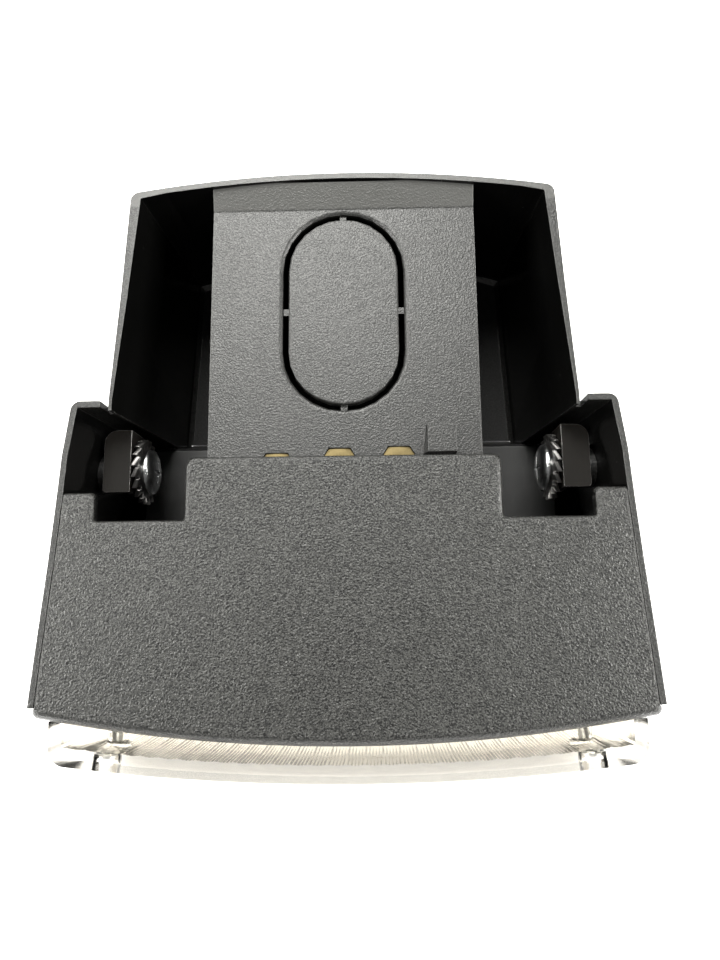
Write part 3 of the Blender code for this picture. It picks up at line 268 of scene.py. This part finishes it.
hood_middle = (0.0, 15 * MM, 0.0)
coat(grained_plastic("hood_black", tone=0.0060, gloss=0.37, pitch=0.34 * MM, depth=0.07 * MM,
                     edge=0.30 * MM, middle=hood_middle, glint_level=0.45, index=1.52),
     "front_housing", "rear_housing")


# Front cover. A flat ABS plate that snaps over the lamp chamber and ends in a bull nose above
# the lens. Its grain is a little coarser than the hood's.
coat(grained_plastic("cover_black", tone=0.0055, gloss=0.35, pitch=0.38 * MM, depth=0.13 * MM,
                     edge=0.6 * MM, middle=hood_middle, glint_level=0.9, index=1.44), "front_cover")


# Lamp chamber. A box of smooth satin ABS that holds the reflector and both lamps, with a ledge
# behind it that carries the terminals. It has flow lines but no grain.
def satin_plastic(name, tone, gloss, edge, tint=(1.0, 1.0, 1.0)):
    """Smooth moulded plastic with faint flow lines, scuffs and soft edges."""
    material, shader, place = open_material(name, IOR=1.5)
    rolled, edges = rolled_edges(place, edge)
    flow = place.stretch((0.25, 1.0, 1.0)).noise(5 * MM, 5.0, 0.6)
    scuff = place.stretch((1.0, 0.15, 1.0)).noise(0.7 * MM, 4.0, 0.7).ramp((0.55, 0.0), (0.8, 1.0))
    light = flow * 0.6 + edges * 0.5 + scuff * 0.5
    dark, pale = (tuple(tone * share * part for part in tint) + (1,) for share in (0.7, 1.9))
    close_material(shader, Base_Color=light.blend(dark, pale),
                   Roughness=gloss + flow * 0.12 + scuff * 0.12,
                   Normal=relief(place, flow + scuff * 0.3, 0.02 * MM, rolled))
    return material


coat(satin_plastic("chamber_black", 0.012, 0.30, 0.3 * MM), "lamp_chamber")


# Reflector. A shallow bowl of moulded resin under a vacuum-deposited aluminium film, with the
# slight ripple that such a film keeps.
def bare_metal(name, colour, gloss, streak, edge, dark=0.5, depth=0.008 * MM):
    """Bare or plated metal: drawn streaks, tarnish in patches and brighter rubbed edges."""
    material, shader, place = open_material(name, metallic=1.0)
    rolled, edges = rolled_edges(place, edge)
    lines = place.stretch(streak).noise(0.35 * MM, 5.0, 0.65)
    patch = place.noise(1.6 * MM, 4.0, 0.6)
    light = (patch * 0.7 + lines * 0.5 + edges * 0.5).ramp((0.3, 0.0), (0.9, 1.0))
    low = tuple(part * dark for part in colour) + (1,)
    close_material(shader, Base_Color=light.blend(low, colour + (1,)),
                   Roughness=gloss + patch * 0.18 - edges * 0.08 + lines * 0.08,
                   Normal=relief(place, lines, depth, rolled))
    return material


coat(bare_metal("aluminium_film", (0.9, 0.91, 0.92), 0.04, (1, 1, 1), 0.1 * MM, 0.85, 0.004 * MM),
     "reflector")


# Lamps. Two small bayonet bulbs of clear glass in nickel-plated caps. Each is held in a brown
# phenolic holder, and its filament is a thin drawn wire.
def clear_part(name, colour, index, gloss, wave, depth):
    """Clear glass or acrylic with a faint surface wave."""
    material, shader, place = open_material(name, IOR=index)
    shader.inputs["Transmission Weight"].default_value = 1.0
    wavy = place.noise(wave, 2.0)
    flat = place.make("ShaderNodeNewGeometry", {}, {}, "Normal")
    pale = tuple(min(1.0, part * 1.02) for part in colour)
    close_material(shader, Base_Color=wavy.blend(colour + (1,), pale + (1,)),
                   Roughness=gloss + wavy * gloss, Normal=relief(place, wavy, depth, flat))
    return material


coat(clear_part("bulb_glass", (0.97, 0.98, 0.98), 1.45, 0.01, 3 * MM, 0.01 * MM),
     "bulb_glass_left", "bulb_glass_right")
coat(bare_metal("nickel_plate", (0.70, 0.67, 0.60), 0.18, (1, 0.2, 1), 0.15 * MM),
     "bulb_cap_left", "bulb_cap_right")
coat(bare_metal("filament_wire", (0.36, 0.36, 0.37), 0.35, (1, 1, 1), 0.05 * MM),
     "bulb_filament_left", "bulb_filament_right")
coat(satin_plastic("holder_phenolic", 0.05, 0.35, 0.25 * MM, (1.3, 0.8, 0.5)),
     "bulb_holder_left", "bulb_holder_right")


# Terminals. Three brass studs stand in a resin block below the column, each with a brass strip
# to the lamps and an M4 brass nut sunk in a pocket of the column.
NUT_BORE = 1.7 * MM
NUT_THREADS = 3
THREAD_DEPTH = 0.12 * MM
COUNTERSINK = 0.35 * MM
NUT_CROWN = 0.96
WELD = 1e-6
SHARP = np.radians(32)
coat(satin_plastic("terminal_resin", 0.02, 0.4, 0.25 * MM, (1.3, 1.0, 0.75)), "terminal_block")
brass = bare_metal("brass", (0.165, 0.13, 0.064), 0.42, (1, 0.25, 1), 0.15 * MM, 0.5, 0.03 * MM)
coat(brass, *[f"{part}_{n}" for part in ("terminal_stud", "contact_strip") for n in (1, 2, 3)])


def grid_piece(name, points, material, closed_u=False, closed_v=False):
    """A surface through a rows x columns x 3 array of points, one quad between neighbours."""
    rows, columns = points.shape[:2]
    index = np.arange(rows * columns).reshape(rows, columns)
    if closed_u:
        index = np.vstack((index, index[:1]))
    if closed_v:
        index = np.hstack((index, index[:, :1]))
    quads = np.stack((index[:-1, :-1], index[1:, :-1], index[1:, 1:], index[:-1, 1:]), -1)
    mesh = bpy.data.meshes.new(name)
    mesh.from_pydata(points.reshape(-1, 3).tolist(), [], quads.reshape(-1, 4).tolist())
    shape = bmesh.new()
    shape.from_mesh(mesh)
    bmesh.ops.remove_doubles(shape, verts=shape.verts, dist=WELD)
    bmesh.ops.dissolve_degenerate(shape, edges=shape.edges, dist=WELD / 10)
    holes = [edge for edge in shape.edges if edge.is_boundary]
    if holes:
        bmesh.ops.holes_fill(shape, edges=holes, sides=0)
    bmesh.ops.recalc_face_normals(shape, faces=shape.faces)
    shape.to_mesh(mesh)
    shape.free()
    mesh.materials.append(material)
    mesh.shade_smooth()
    mesh.set_sharp_from_angle(angle=SHARP)
    piece = bpy.data.objects.new(name, mesh)
    bpy.context.scene.collection.objects.link(piece)
    return piece


def hexagon_nut(name, node):
    """Hexagon nut: across each angle the rim lies on the hexagon's flats, half width / cos of the
    angle from the flat's middle, and the top falls by tan 30 outside the inscribed circle."""
    low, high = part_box(node)
    middle = (low + high) / 2
    flats = (high.y - low.y) / 2
    angle = np.linspace(0, 2 * np.pi, 96, endpoint=False)
    rim = flats / np.cos((angle % (np.pi / 3)) - np.pi / 6)
    crown = flats * NUT_CROWN
    fall = (rim - crown) * np.tan(np.pi / 6)
    height = high.z - low.z
    thread = np.linspace(0, 1, 6 * NUT_THREADS + 1)
    bore = NUT_BORE + THREAD_DEPTH * np.abs((thread * NUT_THREADS) % 1 - 0.5) * 2
    ones = np.ones_like(angle)
    rings = [(radius * ones, (1 - share) * height * ones) for radius, share in zip(bore, thread[::-1])]
    rings += [((NUT_BORE + COUNTERSINK) * ones, height * ones), (crown * ones, height * ones),
              (rim, height - fall), (rim, fall * 0.6), (crown * ones, 0 * ones)]
    points = np.array([np.stack((middle.x + radius * np.cos(angle),
                                 middle.y + radius * np.sin(angle), low.z + level), -1)
                       for radius, level in rings])
    return grid_piece(name, points, brass, closed_u=True, closed_v=True)


for n in (1, 2, 3):
    nut = hexagon_nut(f"brass_nut_{n}", f"terminal_nut_{n}")
    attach(nut, "lamp_head")
    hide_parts(f"terminal_nut_{n}")


# Lens. A tray of clear acrylic, open to the rear. Its thick front wall is bowed, and the inside
# of that wall has coarse scallops with five fine ridges in each, which spread the light.
LENS_WALL = 2.0 * MM
LENS_FRONT_WALL = 3.4 * MM
LENS_CORNER = 3.0 * MM
LENS_BOW = 3.5 * MM
SCALLOP = (3.4 * MM, 0.20 * MM)
RIDGE = (0.68 * MM, 0.13 * MM)
LENS_EDGE = 0.5 * MM
SCREW_HEAD = 1.4 * MM
SCREW_GAP = 0.3 * MM
SHANK_SHARE = 0.6
acrylic = clear_part("clear_acrylic", (0.87, 0.84, 0.78), 1.30, 0.05, 2.5 * MM, 0.02 * MM)
low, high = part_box("lens")
half, bottom, top, back = high.x, low.z, high.z, high.y
step = RIDGE[0] / 6
inside = half - LENS_WALL
across = np.arange(-np.floor(inside / step), np.floor(inside / step) + 1) * step
round_off = half - LENS_CORNER * (1 - np.sin(np.linspace(0, np.pi / 2, 9)))
ends = np.concatenate((round_off[round_off > inside + step], [half]))
across = np.unique(np.concatenate((-ends, [-inside - 1e-5], across, [inside + 1e-5], ends)))
reach = np.abs(across)
front = low.y + LENS_BOW * (reach / half) ** 2
corner = np.clip(reach - (half - LENS_CORNER), 0, LENS_CORNER)
front = front + LENS_CORNER - np.sqrt(LENS_CORNER ** 2 - corner ** 2)
hollow = low.y + LENS_BOW * (reach / half) ** 2 + LENS_FRONT_WALL
hollow -= SCALLOP[1] * np.abs(np.sin(np.pi * across / SCALLOP[0]))
hollow -= RIDGE[1] * np.abs(np.sin(np.pi * across / RIDGE[0]))
hollow = np.where(reach > inside, back, hollow)


def section(y, z):
    """One lengthwise line of the lens: every column at its own y, all at one height."""
    return np.stack((across, y * np.ones_like(across), z * np.ones_like(across)), -1)


lip = LENS_EDGE * 0.3
outer = [section(back, bottom), section(front + LENS_EDGE, bottom), section(front + lip, bottom + lip),
         section(front, bottom + LENS_EDGE), section(front, top - LENS_EDGE),
         section(front + lip, top - lip), section(front + LENS_EDGE, top), section(back, top)]
inner = [section(back, top - LENS_WALL), section(hollow, top - LENS_WALL),
         section(hollow, bottom + LENS_WALL), section(back, bottom + LENS_WALL)]
clear_lens = grid_piece("clear_lens", np.array(outer + inner), acrylic, closed_u=True)


def drill(piece, drills):
    """Take each (middle, radius, front, back) bore along Y out of the piece."""
    turn = np.linspace(0, 2 * np.pi, 48, endpoint=False)
    for middle, radius, front_end, back_end in drills:
        ring = np.stack((middle.x + radius * np.cos(turn), 0 * turn, middle.z + radius * np.sin(turn)), -1)
        bit = grid_piece("bit", np.array([ring + (0, end, 0) for end in (front_end, back_end)]),
                         acrylic, closed_v=True)
        hole = piece.modifiers.new("hole", "BOOLEAN")
        hole.object, hole.solver = bit, "EXACT"
        shape = bpy.data.meshes.new_from_object(
            piece.evaluated_get(bpy.context.evaluated_depsgraph_get()))
        piece.modifiers.clear()
        piece.data = shape
        bpy.data.objects.remove(bit)
    piece.data.set_sharp_from_angle(angle=SHARP)


drills = []
for side in ("left", "right"):
    screw_low, screw_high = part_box(f"lens_screw_{side}")
    middle, head_r = (screw_low + screw_high) / 2, (screw_high.x - screw_low.x) / 2
    drills.append((middle, head_r + SCREW_GAP, low.y - MM, screw_low.y + SCREW_HEAD))
    drills.append((middle, head_r * SHANK_SHARE + SCREW_GAP, low.y - MM, back + MM))
drill(clear_lens, drills)
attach(clear_lens, "lamp_head")
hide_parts("lens")


# Lens seal and screws. A matt rubber frame lies between lens and housing, and two zinc-plated
# pan-head screws draw the lens on to it.
rubber = satin_plastic("black_rubber", 0.012, 0.75, 0.1 * MM)
coat(rubber, "lens_gasket")
zinc = bare_metal("zinc_plate", (0.74, 0.75, 0.76), 0.20, (1, 1, 1), 0.2 * MM, 0.55)
coat(zinc, "lens_screw_left", "lens_screw_right")
coat(zinc, *[f"housing_screw_{side}_{n}" for side in ("left", "right") for n in (1, 2)])


# Pivots. Each bracket turns on an M5 pan-head screw in a brass insert. A blackened tooth
# washer, its teeth twisted out of the ring, locks it.
WASHER_BORE = 2.75 * MM
WASHER_ROOT = 0.78
TOOTH_COUNT = 18
TOOTH_SHARE = 0.80
WASHER_SHEET = 1.0 * MM
coat(bare_metal("bright_zinc", (0.90, 0.91, 0.92), 0.10, (1, 1, 1), 0.4 * MM, 0.8, 0.05 * MM),
     "pivot_screw_left", "pivot_screw_right")
coat(brass, "pivot_insert_left", "pivot_insert_right")
spring_steel = bare_metal("black_spring_steel", (0.36, 0.35, 0.34), 0.26, (1, 1, 1), 0.22 * MM, 0.25)


def tooth_washer(name, node, side):
    """External tooth washer: over each tooth's share of the circle the rim steps out from root to
    tip, and the sheet leans from one side of the ring to the other in proportion to the angle
    from the tooth's middle and to how far out past the root it lies."""
    low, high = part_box(node)
    middle = (low + high) / 2
    tip, lean = (high.y - low.y) / 2, (high.x - low.x - WASHER_SHEET) / 2
    local = np.array([-0.5, -0.501 * TOOTH_SHARE, -0.5 * TOOTH_SHARE, -0.25, 0.0, 0.25,
                      0.5 * TOOTH_SHARE, 0.501 * TOOTH_SHARE])
    on_tooth = np.abs(local) <= 0.5 * TOOTH_SHARE
    angle = ((np.arange(TOOTH_COUNT)[:, None] + local[None, :]) * 2 * np.pi / TOOTH_COUNT).ravel()
    rim = np.tile(np.where(on_tooth, tip, tip * WASHER_ROOT), TOOTH_COUNT)
    tilt = np.tile(np.where(on_tooth, local / (0.5 * TOOTH_SHARE), 0.0), TOOTH_COUNT)
    share = np.array([0.0, 0.35, 0.6, 0.8, 0.94, 1.0])
    radius = WASHER_BORE + (rim[None, :] - WASHER_BORE) * share[:, None]
    rise = np.clip((radius / tip - WASHER_ROOT) / (1 - WASHER_ROOT), 0, 1)
    offset = lean * tilt[None, :] * rise
    thick = WASHER_SHEET / 2 * np.where(share < 0.99, 1.0, 0.6)[:, None]
    faces = np.concatenate([
        np.stack((middle.x + side * (offset + sign * thick), middle.y + radius * np.cos(angle),
                  middle.z + radius * np.sin(angle)), -1)[::sign] for sign in (1, -1)])
    return grid_piece(name, faces, spring_steel, closed_u=True, closed_v=True)


for side, word in ((-1, "left"), (1, "right")):
    washer = tooth_washer(f"twisted_tooth_washer_{word}", f"tooth_washer_{word}", side)
    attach(washer, "lamp_head")
    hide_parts(f"tooth_washer_{word}")


# Brackets. Two bent strips of browned steel, each with a foot that takes the mounting base.
# Rolling leaves lines along the strip, and the sheared edges show bare metal.
def browned_steel(name, tone, gloss, edge):
    """Browned sheet steel: lines along Y, rusty patches and edges rubbed to bare metal."""
    material, shader, place = open_material(name, IOR=1.3)
    rolled, edges = rolled_edges(place, edge)
    lines = place.stretch((1.0, 0.04, 1.0)).noise(0.28 * MM, 5.0, 0.7)
    patch = place.noise(2.2 * MM, 5.0, 0.65)
    bare = (edges * 0.9 + lines.ramp((0.66, 0.0), (0.86, 1.0)) * 0.2).ramp((0.15, 0.0), (0.9, 1.0))
    brown = (patch * 0.6 + lines * 0.5).blend(tuple(part * 0.45 for part in tone) + (1,),
                                             tuple(part * 1.7 for part in tone) + (1,))
    close_material(shader, Base_Color=bare.blend(brown, (0.50, 0.49, 0.48, 1)),
                   Metallic=bare * 0.9 + 0.05, Roughness=gloss + patch * 0.15 - bare * 0.15,
                   Normal=relief(place, lines, 0.02 * MM, rolled))
    return material


coat(browned_steel("browned_steel", (0.006, 0.005, 0.004), 0.50, 0.15 * MM),
     "bracket_left", "bracket_right")
